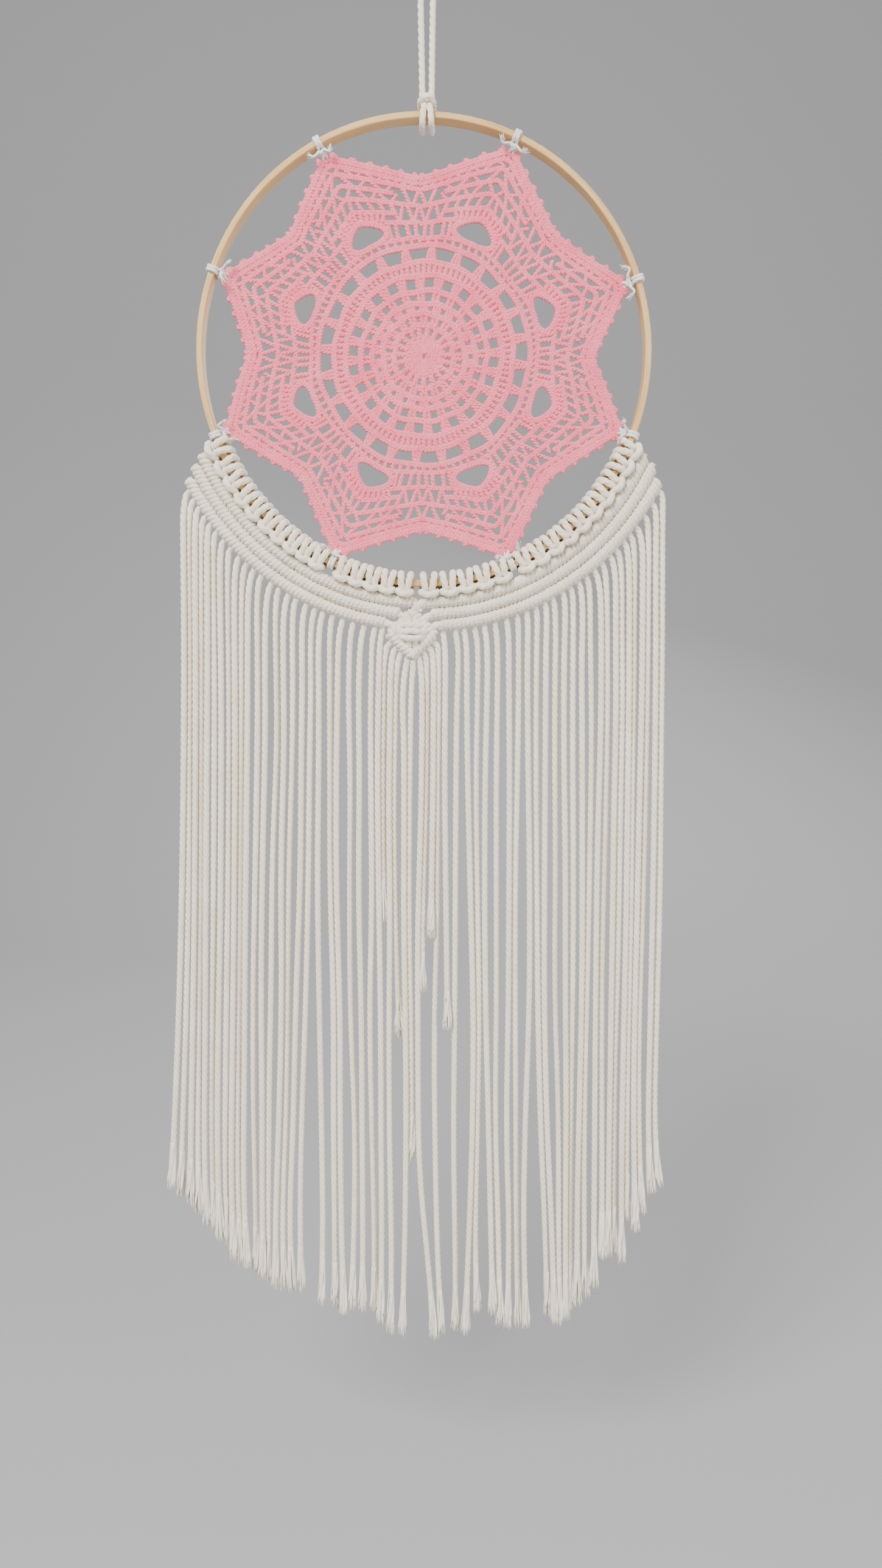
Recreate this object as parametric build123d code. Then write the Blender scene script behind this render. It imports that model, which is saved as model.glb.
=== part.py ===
from build123d import *
import math
import os

# Dream catcher: a bamboo ring with a crocheted star web tied inside it, a macrame band of lark's heads
# and hitched rows along its lower part, a small hitched diamond, and a fringe of sixty free tails.
# It hangs from a cord loop. Millimetres, +Z up, front towards -Y.
# The origin is the hanging point: the top of the nail, inside the bight of the loop.

# Ring
HOOP_RADIUS = 100.0
HOOP_WALL = 2.8
HOOP_DEPTH = 8.0
HOOP_EDGE = 0.6
HANG_DROP = 165.0
HANG_OFFSET = 1.5

# Cord
CORD = 2.7
TIE_CORD = 1.6
LAY_GAP = 0.05
MOVE_GAP = 0.35

# Hanging loop and its knot, which leaves the ring room to tilt
NAIL = 3.0
LOOP_SPREAD = 4.0
TILT_ROOM = 0.95

# Macrame band
ROW_THICKNESS = 5.1
ROW_GAP = 0.1
CORE_CLEARANCE = 0.1
CORE_END = 0.8
LEFT_HEADS = (-66.5, -61.6, -57.1, -52.6, -48.2, -44.0, -39.9, -36.0, -32.1, -28.4, -21.6, -17.6, -13.6, -9.4, -5.0)
RIGHT_HEADS = (1.2, 6.3, 11.0, 15.7, 20.2, 27.0, 31.2, 35.5, 39.8, 44.0, 48.4, 52.8, 57.2, 61.7, 66.3)
LEFT_ROWS = ((-66.6, -2.8), (-65.0, -6.3), (-63.0, -8.9))
RIGHT_ROWS = ((-0.4, 66.2), (1.4, 65.2), (3.5, 62.8))

# Diamond under the band: its middle, how far it stands above the fringe's line, its half sizes and bars
DIAMOND_X = -5.7
DIAMOND_RISE = 0.4
DIAMOND_HALF_WIDTH = 9.7
DIAMOND_HALF_HEIGHT = 9.7
DIAMOND_BAR = 4.2
DIAMOND_KNOT = 8.4

# Crocheted web: a star with one point at each tie
TIE_ANGLES = (23.6, 70.0, 109.0, 156.0, -152.6, -111.4, -70.0, -25.0)
WEB_THICKNESS = 2.0
WEB_TIP_REACH = 10.6
WEB_TIP_DISC = 4.4
WEB_EYELET = 2.2
WEB_VALLEY_RADIUS = 75.0
# each ring of openings: radius of the ring, number, diameter of an opening
WEB_RINGS = ((10.5, 18, 1.8), (16.5, 18, 2.2), (29.0, 24, 4.6), (40.0, 16, 6.0))
WEB_EYE = (55.0, 9.0)
WEB_NET = ((63.0, 8.0, 6.0), (63.0, -8.0, 6.0), (69.0, 4.5, 5.5), (69.0, -4.5, 5.5), (76.0, 2.4, 4.2), (76.0, -2.4, 4.2))

# Fringe. Each tail leaves the band at its exit height. Its route goes down by DROPS,
# and a tail's line gives its exit height, its x at each drop, its x at the cut end and its fall.
# Heights and x are from the ring's middle.
DROPS = (0, 4, 10, 19, 36, 70, 125, 185, 245, 305)
TAILS = (
    (-58.5, (-106.8, -107.8, -108.5, -108.8, -109.2, -110.1, -112.0, -114.5, -117.8, -122.2), -124.6, 332),
    (-62.4, (-104.6, -105.6, -106.2, -106.6, -107.0, -107.8, -109.8, -112.1, -114.9, -118.6), -120.6, 333),
    (-66.0, (-102.4, -103.0, -103.4, -103.6, -104.0, -104.8, -106.8, -109.1, -111.8, -114.4), -115.4, 333),
    (-69.9, (-99.8, -100.6, -101.1, -101.4, -101.8, -102.6, -104.5, -106.8, -109.0, -111.5), -111.8, 334),
    (-73.1, (-97.4, -97.9, -98.2, -98.4, -98.8, -99.6, -101.5, -103.7, -105.9, -108.3), -108.0, 337),
    (-76.6, (-94.7, -95.3, -95.7, -95.9, -96.2, -96.9, -98.4, -100.5, -103.0, -105.0), -104.6, 337),
    (-80.4, (-91.5, -92.2, -92.6, -92.8, -93.1, -93.7, -95.2, -97.1, -99.8, -101.6), -101.2, 337),
    (-83.8, (-88.4, -89.0, -89.4, -89.6, -89.9, -90.4, -92.0, -94.3, -96.5, -98.5), -97.8, 337),
    (-87.6, (-84.6, -85.5, -86.1, -86.4, -86.7, -87.3, -89.0, -91.2, -93.4, -95.3), -94.6, 340),
    (-90.7, (-81.3, -82.4, -83.1, -83.5, -84.0, -84.8, -86.6, -88.7, -90.8, -92.7), -91.8, 340),
    (-93.4, (-78.1, -79.2, -80.0, -80.5, -80.9, -81.7, -83.5, -85.6, -87.6, -89.6), -88.6, 340),
    (-96.2, (-74.7, -75.7, -76.3, -76.6, -76.7, -77.4, -79.4, -82.0, -83.6, -83.8), -84.4, 340),
    (-99.5, (-70.2, -71.3, -72.1, -72.7, -73.2, -73.8, -76.2, -78.2, -78.9, -80.2), -80.8, 339),
    (-101.9, (-66.7, -67.5, -68.0, -68.2, -68.3, -68.5, -72.0, -73.6, -75.9, -77.4), -78.0, 338),
    (-104.5, (-62.5, -63.5, -64.2, -64.5, -64.7, -65.0, -67.9, -68.6, -70.9, -74.0), -74.4, 338),
    (-106.6, (-58.9, -59.8, -60.3, -60.5, -60.6, -61.4, -64.2, -66.0, -67.6, -71.2), -70.4, 338),
    (-109.0, (-54.3, -55.3, -55.9, -56.1, -56.2, -57.2, -58.4, -61.7, -64.0, -67.6), -66.4, 337),
    (-110.9, (-50.3, -51.3, -52.0, -52.3, -52.4, -53.6, -54.9, -57.1, -60.4, -62.4), -62.2, 336),
    (-112.5, (-46.6, -47.6, -48.2, -48.6, -48.7, -49.3, -50.7, -50.6, -50.3, -50.4), -52.0, 339),
    (-114.2, (-42.3, -43.0, -43.4, -43.6, -43.8, -44.2, -44.9, -43.9, -44.8, -44.9), -45.3, 340),
    (-115.8, (-37.6, -38.6, -39.3, -39.7, -40.1, -41.1, -41.9, -40.8, -41.5, -41.4), -40.8, 341),
    (-117.3, (-32.8, -33.7, -34.3, -34.7, -35.1, -34.6, -35.7, -36.1, -34.2, -35.6), -37.0, 338),
    (-118.6, (-27.8, -28.8, -29.5, -30.0, -30.4, -30.3, -31.3, -30.5, -30.8, -31.0), -31.8, 338),
    (-119.6, (-23.0, -23.8, -24.2, -24.5, -25.0, -25.2, -25.0, -26.8, -26.0, -25.3), -26.0, 338),
    (-120.3, (-19.4, -20.2, -20.7, -21.0, -21.5, -22.0, -21.8, -21.3, -21.6, -21.5), -22.6, 342),
    (-125.6, (-16.9, -17.9, -18.6, -18.9, -19.1, -19.8), -19.7, 131),
    (-128.6, (-14.2, -15.0, -15.6, -15.9, -16.1, -16.8, -16.6, -17.6, -17.5, -16.6), -18.0, 338),
    (-131.6, (-11.6, -12.6, -13.2, -13.6, -13.9, -14.6, -14.0), -12.6, 183),
    (-135.2, (-8.4, -9.2, -9.8, -10.2, -9.6, -9.7, -10.1, -9.3, -9.6, -10.8), -12.2, 334),
    (-136.2, (-5.2, -5.6, -6.0, -6.4, -6.8, -7.4, -7.8, -6.7), -6.6, 241),
    (-134.6, (-2.0, -1.6, -1.3, -1.2, -1.3, -1.8, -3.6, -3.5, -3.4, 2.2), 4.2, 336),
    (-131.4, (0.6, 1.0, 1.1, 1.2, 1.0, 0.6, -1.4), -1.6, 160),
    (-128.6, (3.3, 3.8, 4.1, 4.2, 4.0, 3.8), 2.6, 136),
    (-125.6, (5.9, 6.3, 6.5, 6.4, 6.3, 6.0, 5.9, 4.2, 4.6, 5.8), 7.8, 343),
    (-121.5, (8.6, 9.2, 9.5, 9.6, 9.4, 9.2, 9.9), 10.6, 188),
    (-121.0, (14.2, 15.0, 15.6, 15.4, 14.8, 14.5, 14.3, 14.1, 13.6, 14.7), 14.8, 347),
    (-120.4, (18.2, 19.0, 19.3, 19.4, 19.5, 20.0, 21.4, 23.1, 22.7, 21.0), 19.4, 347),
    (-119.6, (23.0, 24.0, 24.5, 24.6, 24.4, 24.0, 24.8, 25.8, 25.0, 24.2), 25.6, 337),
    (-118.7, (27.4, 28.2, 28.6, 28.8, 28.6, 28.0, 28.1, 29.0, 30.8, 32.3), 33.3, 338),
    (-117.4, (32.3, 33.0, 33.4, 33.6, 33.5, 33.3, 33.8, 34.3, 34.0, 36.2), 36.8, 345),
    (-115.8, (37.6, 38.2, 38.5, 38.6, 38.8, 39.3, 39.5, 39.7, 39.2, 41.5), 40.6, 350),
    (-114.2, (42.5, 42.9, 43.1, 43.2, 43.3, 43.1, 42.4, 43.0, 44.2, 44.9), 46.2, 352),
    (-112.4, (46.8, 47.1, 47.2, 47.1, 47.3, 48.0, 49.3, 49.8, 48.2, 48.0), 50.0, 352),
    (-110.6, (51.1, 51.5, 51.6, 51.5, 51.6, 51.9, 52.8, 53.8, 55.7, 59.1), 60.8, 349),
    (-108.5, (55.3, 55.6, 55.7, 55.5, 55.6, 55.8, 56.3, 56.9, 58.8, 62.2), 64.0, 353),
    (-106.6, (58.9, 59.6, 59.9, 60.1, 60.0, 60.4, 61.7, 62.1, 64.9, 65.4), 66.5, 356),
    (-104.0, (63.5, 63.9, 64.1, 64.0, 63.9, 64.3, 65.8, 66.7, 68.3, 68.9), 69.8, 357),
    (-101.7, (67.0, 67.7, 68.0, 68.1, 68.2, 68.5, 69.7, 70.6, 70.9, 71.2), 72.1, 355),
    (-99.2, (70.7, 71.4, 71.9, 72.1, 72.0, 72.9, 73.8, 74.7, 74.4, 74.2), 75.2, 353),
    (-96.6, (74.1, 75.0, 75.6, 75.8, 76.4, 77.6, 77.7, 77.3, 76.9, 77.8), 79.4, 352),
    (-93.7, (77.8, 79.0, 79.9, 80.3, 80.8, 81.3, 80.9, 81.4, 82.0, 82.6), 83.0, 348),
    (-90.7, (81.3, 82.3, 82.9, 83.2, 83.7, 84.6, 84.9, 84.6, 85.6, 86.6), 87.0, 337),
    (-87.3, (84.9, 85.9, 86.7, 87.0, 87.3, 88.1, 88.0, 88.6, 89.2, 89.8), 90.3, 340),
    (-84.5, (87.8, 88.9, 89.7, 90.0, 90.3, 91.1, 91.2, 92.0, 91.8, 92.5), 93.5, 342),
    (-80.9, (91.1, 91.9, 92.6, 93.0, 93.4, 94.2, 94.6, 95.1, 94.9, 95.6), 96.8, 349),
    (-77.8, (93.7, 94.8, 95.4, 95.6, 96.0, 96.7, 96.9, 97.4, 97.3, 98.3), 99.5, 330),
    (-74.3, (96.5, 97.8, 98.6, 98.8, 99.1, 99.8, 100.1, 100.5, 100.4, 101.6), 103.0, 338),
    (-69.3, (100.1, 101.0, 101.5, 101.7, 101.9, 102.6, 103.4, 103.5, 102.8, 104.2), 106.4, 335),
    (-64.0, (103.6, 104.3, 104.5, 104.6, 105.0, 105.8, 106.6, 107.3, 107.9, 108.3), 111.0, 330),
    (-58.5, (106.8, 107.4, 107.6, 107.7, 108.1, 108.8, 109.6, 111.0, 111.2, 111.5), 115.0, 333),
)
# How far in front of or behind the ring's plane a pair of tails drifts at each drop and at its end
SWAYS = (
    (0.0, 0.0, 0.1, 0.2, 0.5, 0.9, 0.3, -0.6, -1.2, -0.7, 0.2),
    (0.0, 0.0, -0.1, -0.3, -0.5, -0.3, 0.6, 1.4, 0.8, -0.4, -1.0),
    (0.0, 0.1, 0.2, 0.2, 0.0, -0.6, -1.3, -0.8, 0.4, 1.3, 1.6),
)
# Half the distance, front to back, that the two tails of a pair stand apart once below the band
PAIR_STAGGER = 0.9
# The gap under the band, the radius that the tails' exits were laid out on, and the tails that leave the diamond
EXIT_GAP = 0.5
FRINGE_RADIUS = 121.785
DIAMOND_TAILS = range(26, 35)

CENTRE_X = -HANG_OFFSET
CENTRE_Z = -HANG_DROP
CORD_RADIUS = CORD / 2
ROW_RADIUS = ROW_THICKNESS / 2
HOOP_MID = HOOP_RADIUS - HOOP_WALL / 2
HOOP_INSIDE = HOOP_RADIUS - HOOP_WALL
BAR_REACH = HOOP_RADIUS + LAY_GAP + CORD + LAY_GAP + CORD_RADIUS / 10
BAND_START = BAR_REACH + CORD_RADIUS + LAY_GAP + ROW_GAP
EXIT_RADIUS = BAND_START + 3 * ROW_THICKNESS + 2 * ROW_GAP + EXIT_GAP + CORD_RADIUS
DIAMOND_DROP = EXIT_RADIUS - DIAMOND_RISE
PLACE = Pos(CENTRE_X, 0, CENTRE_Z)

os.makedirs("parts", exist_ok=True)
nodes = {}


def turned(shape, angle):
    """Turn a shape made at the bottom of the ring to an angle from straight down, right positive."""
    return PLACE * Rot(0, -angle, 0) * shape


def tube(points, radius):
    """A round tube along straight runs joined by the largest arcs that the runs allow."""
    points = [Vector(*point) for point in points]
    radii = []
    for before, here, after in zip(points, points[1:], points[2:]):
        half_turn = math.radians((here - before).get_angle(after - here)) / 2
        shorter = min((here - before).length, (after - here).length)
        radii.append(0.45 * shorter / math.tan(half_turn))
    path = FilletPolyline(*points, radius=radii)
    solid = sweep(Plane(origin=path @ 0, z_dir=path % 0) * Circle(radius), path=path)
    return solid, path, min(radii)


def wrap(radius, offset, slack):
    """A closed turn of cord round the ring's section, offset along the ring."""
    depth = HOOP_DEPTH + 2 * (radius + LAY_GAP + slack / 2)
    height = HOOP_WALL + 2 * (radius + LAY_GAP + slack)
    plane = Plane(origin=(offset, 0, -HOOP_MID), x_dir=(0, 1, 0), z_dir=(1, 0, 0))
    path = (plane * RectangleRounded(depth, height, radius * 1.07)).face().outer_wire()
    return sweep(Plane(origin=path @ 0, z_dir=path % 0) * Circle(radius), path=path)


def lark_head(slack, neck_end):
    """Two turns over the ring under one bar, with the two legs that leave it."""
    solid = None
    for side in (-1, 1):
        leg = side * (CORD_RADIUS + LAY_GAP)
        neck = Cylinder(CORD_RADIUS, neck_end - HOOP_RADIUS - slack - CORD_RADIUS)
        neck_middle = (neck_end + HOOP_RADIUS + slack + CORD_RADIUS) / 2
        piece = wrap(CORD_RADIUS, leg, slack) + Pos(leg, 0, -neck_middle) * neck
        solid = piece if solid is None else solid + piece
    bar_half = CORD_RADIUS + LAY_GAP
    place = Pos(0, -HOOP_DEPTH / 2, -(BAR_REACH + slack))
    bar = place * Rot(0, 90, 0) * Cylinder(CORD_RADIUS, 2 * bar_half)
    for side in (-1, 1):
        bar += place * Pos(side * bar_half, 0, 0) * Sphere(CORD_RADIUS)
    return solid + bar


def arc_tube(ring_radius, start, end, outer, inner):
    """A round tube along part of a circle about the ring's middle, hollow when inner is given."""
    profile = Circle(outer)
    if inner:
        profile -= Circle(inner)
    plane = Plane(origin=(0, 0, -ring_radius), x_dir=(0, 0, -1), z_dir=(1, 0, 0))
    solid = revolve(plane * profile, axis=Axis((0, 0, 0), (0, 1, 0)), revolution_arc=start - end)
    return turned(solid, start)


def rod(start, end, radius):
    """A straight round bar with round ends between two points in the ring's plane."""
    start = Vector(start[0], 0, start[1])
    end = Vector(end[0], 0, end[1])
    bar = Plane(origin=start, z_dir=end - start) * Cylinder(
        radius, (end - start).length, align=(Align.CENTER, Align.CENTER, Align.MIN)
    )
    return bar + Pos(*start) * Sphere(radius) + Pos(*end) * Sphere(radius)


def hole(ring_radius, offset, diameter):
    """A cutter through the web, at a radius and an offset along the ring."""
    return Pos(offset, 0, -ring_radius) * Rot(90, 0, 0) * Cylinder(diameter / 2, 3 * WEB_THICKNESS)


# Ring: a flat bamboo strip bent to a circle
ring = Cylinder(HOOP_RADIUS, HOOP_DEPTH) - Cylinder(HOOP_INSIDE, 2 * HOOP_DEPTH)
ring = fillet(ring.edges().filter_by(GeomType.CIRCLE), HOOP_EDGE)
nodes["hoop"] = PLACE * Rot(90, 0, 0) * ring

# Web: a star plate with its rings of openings, its eight eyes and the net in each point
tip_radius = HOOP_RADIUS - WEB_TIP_REACH
outline = []
ordered = sorted(TIE_ANGLES)
for index, angle in enumerate(ordered):
    following = ordered[(index + 1) % len(ordered)] + (360 if index == len(ordered) - 1 else 0)
    for radius, turn in ((tip_radius, angle), (WEB_VALLEY_RADIUS, (angle + following) / 2)):
        outline.append((radius * math.sin(math.radians(turn)), -radius * math.cos(math.radians(turn))))
face = Plane.XZ * make_face(Polyline(*outline, close=True))
web = extrude(face, WEB_THICKNESS / 2, both=True)
openings = [hole(0, 0, 1.6)]
for angle in TIE_ANGLES:
    tip = Rot(0, -angle, 0) * Pos(0, 0, -tip_radius) * Rot(90, 0, 0) * Cylinder(WEB_TIP_DISC / 2, WEB_THICKNESS)
    web += tip
    cutters = [hole(tip_radius, 0, WEB_EYELET), hole(WEB_EYE[0], 0, WEB_EYE[1])]
    cutters += [hole(*opening) for opening in WEB_NET]
    openings += [Rot(0, -angle, 0) * cutter for cutter in cutters]
for ring_radius, count, diameter in WEB_RINGS:
    openings += [Rot(0, 360 * turn / count, 0) * hole(ring_radius, 0, diameter) for turn in range(count)]
nodes["crochet_web"] = PLACE * (web - openings)

# Ties: a turn round the ring, a knot on its inside and a link through the web's eyelet
tie_radius = TIE_CORD / 2
knot_middle = HOOP_INSIDE - TIE_CORD
link_radius = (knot_middle - tip_radius) / 2
for number, angle in enumerate(TIE_ANGLES, 1):
    tie = wrap(tie_radius, 0, 0) + Pos(0, 0, -knot_middle) * Sphere(TIE_CORD)
    tie += Pos(0, 0, -(tip_radius + link_radius)) * Rot(0, 90, 0) * Torus(link_radius, 0.9 * tie_radius)
    nodes[f"web_tie_{number}"] = turned(tie, angle)

# Hanging knot and loop
knot_top = BAND_START + TILT_ROOM
nodes["hanging_knot"] = Pos(0, 0, CENTRE_Z) * Rot(0, 180, 0) * lark_head(TILT_ROOM, knot_top)
loop_foot = CENTRE_Z + knot_top + MOVE_GAP
half_spread = LOOP_SPREAD / 2
half_bight = (NAIL + CORD) / 2
HANGING_LOOP = [
    (-half_spread, 0, loop_foot),
    (-half_spread - 0.4, 0, -30),
    (-half_bight - 0.1, 0, -8),
    (-half_bight, 0, CORD_RADIUS),
    (half_bight, 0, CORD_RADIUS),
    (half_bight + 0.1, 0, -8),
    (half_spread + 0.4, 0, -30),
    (half_spread, 0, loop_foot),
]
nodes["hanging_loop"], loop_path, loop_bend = tube(HANGING_LOOP, CORD_RADIUS)
print("hanging_loop", "length", round(loop_path.length, 1), "least radius", round(loop_bend, 2))

# Lark's heads, hitched rows and the holding cord inside each row
head = lark_head(0, BAND_START - LAY_GAP)
for side, angles in (("left", LEFT_HEADS), ("right", RIGHT_HEADS)):
    nodes[f"lark_heads_{side}"] = Compound([solid for angle in angles for solid in turned(head, angle).solids()])
for side, rows in (("left", LEFT_ROWS), ("right", RIGHT_ROWS)):
    for number, (start, end) in enumerate(rows, 1):
        ring_radius = BAND_START + ROW_RADIUS + (number - 1) * (ROW_THICKNESS + ROW_GAP)
        bore = CORD_RADIUS + CORE_CLEARANCE
        nodes[f"hitch_row_{side}_{number}"] = arc_tube(ring_radius, start, end, ROW_RADIUS, bore)
        nodes[f"holding_cord_{side}_{number}"] = arc_tube(
            ring_radius, start - CORE_END, end + CORE_END, CORD_RADIUS, None
        )

# Diamond: four hitched bars and the knot they frame
left = (CENTRE_X + DIAMOND_X - DIAMOND_HALF_WIDTH, CENTRE_Z - DIAMOND_DROP)
right = (CENTRE_X + DIAMOND_X + DIAMOND_HALF_WIDTH, CENTRE_Z - DIAMOND_DROP)
top = (CENTRE_X + DIAMOND_X, CENTRE_Z - DIAMOND_DROP + DIAMOND_HALF_HEIGHT)
bottom = (CENTRE_X + DIAMOND_X, CENTRE_Z - DIAMOND_DROP - DIAMOND_HALF_HEIGHT)
bars = [rod(start, end, DIAMOND_BAR / 2) for start, end in ((left, top), (top, right), (right, bottom), (bottom, left))]
nodes["diamond_frame"] = bars[0] + bars[1:]
nodes["diamond_centre_knot"] = Pos(left[0] + DIAMOND_HALF_WIDTH, 0, left[1]) * Sphere(DIAMOND_KNOT / 2)


def tail_route(number):
    """The points of one tail, from its exit to its cut end. Odd tails hang in front of even ones."""
    exit_height, across, end_across, fall = TAILS[number - 1]
    sway = SWAYS[((number - 1) // 2) % len(SWAYS)]
    stagger = -PAIR_STAGGER if number % 2 else PAIR_STAGGER
    drops = DROPS[: len(across)] + (fall,)
    apart = (0, 0.4) + (1,) * (len(drops) - 2)
    growth = EXIT_RADIUS / FRINGE_RADIUS - 1
    shift_x, shift_z = across[0] * growth, exit_height * growth
    if number in DIAMOND_TAILS:
        shift_x, shift_z = 0, FRINGE_RADIUS - EXIT_RADIUS
    return [
        (CENTRE_X + x + shift_x, share * stagger + y, CENTRE_Z + exit_height - drop + shift_z)
        for x, y, drop, share in zip(across + (end_across,), sway, drops, apart)
    ]


# Fringe: the two free tails of one mounting cord share a node
for pair in range(1, len(TAILS) // 2 + 1):
    tails = []
    for number in (2 * pair - 1, 2 * pair):
        route = tail_route(number)
        solid, path, bend = tube(route, CORD_RADIUS)
        share = solid.volume / (math.pi * CORD_RADIUS**2 * path.length)
        print(f"tail {number} length {path.length:.1f} least radius {bend:.1f} volume share {share:.4f}")
        tails.append(solid + Pos(*route[0]) * Sphere(CORD_RADIUS))
    nodes[f"tail_pair_{pair:02d}"] = Compound([solid for tail in tails for solid in tail.solids()])

for name, shape in nodes.items():
    shape.label = name
    export_step(shape, f"parts/{name}.step")
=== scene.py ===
import math
import random

import bpy
import numpy as np
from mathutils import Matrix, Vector


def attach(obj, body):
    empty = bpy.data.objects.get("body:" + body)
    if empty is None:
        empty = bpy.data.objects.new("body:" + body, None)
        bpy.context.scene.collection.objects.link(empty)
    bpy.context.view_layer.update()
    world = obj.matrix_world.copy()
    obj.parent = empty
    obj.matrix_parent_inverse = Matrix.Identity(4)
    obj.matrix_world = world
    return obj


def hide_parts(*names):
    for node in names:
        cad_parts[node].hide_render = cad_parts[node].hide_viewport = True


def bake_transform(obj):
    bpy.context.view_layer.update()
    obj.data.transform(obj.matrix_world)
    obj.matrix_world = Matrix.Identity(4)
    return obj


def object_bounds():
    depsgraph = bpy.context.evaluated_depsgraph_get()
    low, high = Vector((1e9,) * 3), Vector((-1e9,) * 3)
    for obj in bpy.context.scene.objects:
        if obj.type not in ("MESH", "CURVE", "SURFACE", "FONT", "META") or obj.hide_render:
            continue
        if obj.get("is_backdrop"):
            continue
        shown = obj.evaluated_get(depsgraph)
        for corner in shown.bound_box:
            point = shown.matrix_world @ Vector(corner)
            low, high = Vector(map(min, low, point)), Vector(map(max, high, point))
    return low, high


# A dream catcher hung from a cord loop: bamboo ring, pink crocheted star, knotted cotton band,
# a small hitched diamond and a fringe of sixty frayed cords. Metres, +Z up, front towards -Y.

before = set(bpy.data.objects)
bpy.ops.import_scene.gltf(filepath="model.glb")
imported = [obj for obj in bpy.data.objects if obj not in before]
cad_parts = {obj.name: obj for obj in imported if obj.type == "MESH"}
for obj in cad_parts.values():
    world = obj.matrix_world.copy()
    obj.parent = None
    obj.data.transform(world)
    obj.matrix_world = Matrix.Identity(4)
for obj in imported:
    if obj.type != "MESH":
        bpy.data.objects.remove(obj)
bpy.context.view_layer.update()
rng = random.Random(7)
MM = 0.001

CENTRE = np.array((-0.0015, 0.0, -0.165))
HOOP_RADIUS = 0.100
HOOP_WALL = 0.0028
HOOP_MID = HOOP_RADIUS - HOOP_WALL / 2
CORD = 0.0027
CORD_R = CORD / 2
CORD_PITCH = -0.0095  # length of one turn of the three plies; negative lays them the other way
CORD_STEP = 0.0009
ROW_RADII = (0.106985, 0.112185, 0.117385)
ROW_FORWARD = (-0.0024, -0.0017, -0.0010)
LEFT_HEADS = (
    -66.5, -61.6, -57.1, -52.6, -48.2, -44.0, -39.9, -36.0, -32.1, -28.4, -21.6, -17.6, -13.6, -9.4, -5.0,
)
RIGHT_HEADS = (1.2, 6.3, 11.0, 15.7, 20.2, 27.0, 31.2, 35.5, 39.8, 44.0, 48.4, 52.8, 57.2, 61.7, 66.3)
LEFT_ROWS = ((-66.6, -2.8), (-65.0, -6.3), (-63.0, -8.9))
RIGHT_ROWS = ((-0.4, 66.2), (1.4, 65.2), (3.5, 62.8))
TIE_ANGLES = (23.6, 70.0, 109.0, 156.0, -152.6, -111.4, -70.0, -25.0)
DIAMOND = CENTRE + np.array((-5.7, 0, -121.4)) * MM
DIAMOND_HALF = 9.7 * MM

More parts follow.
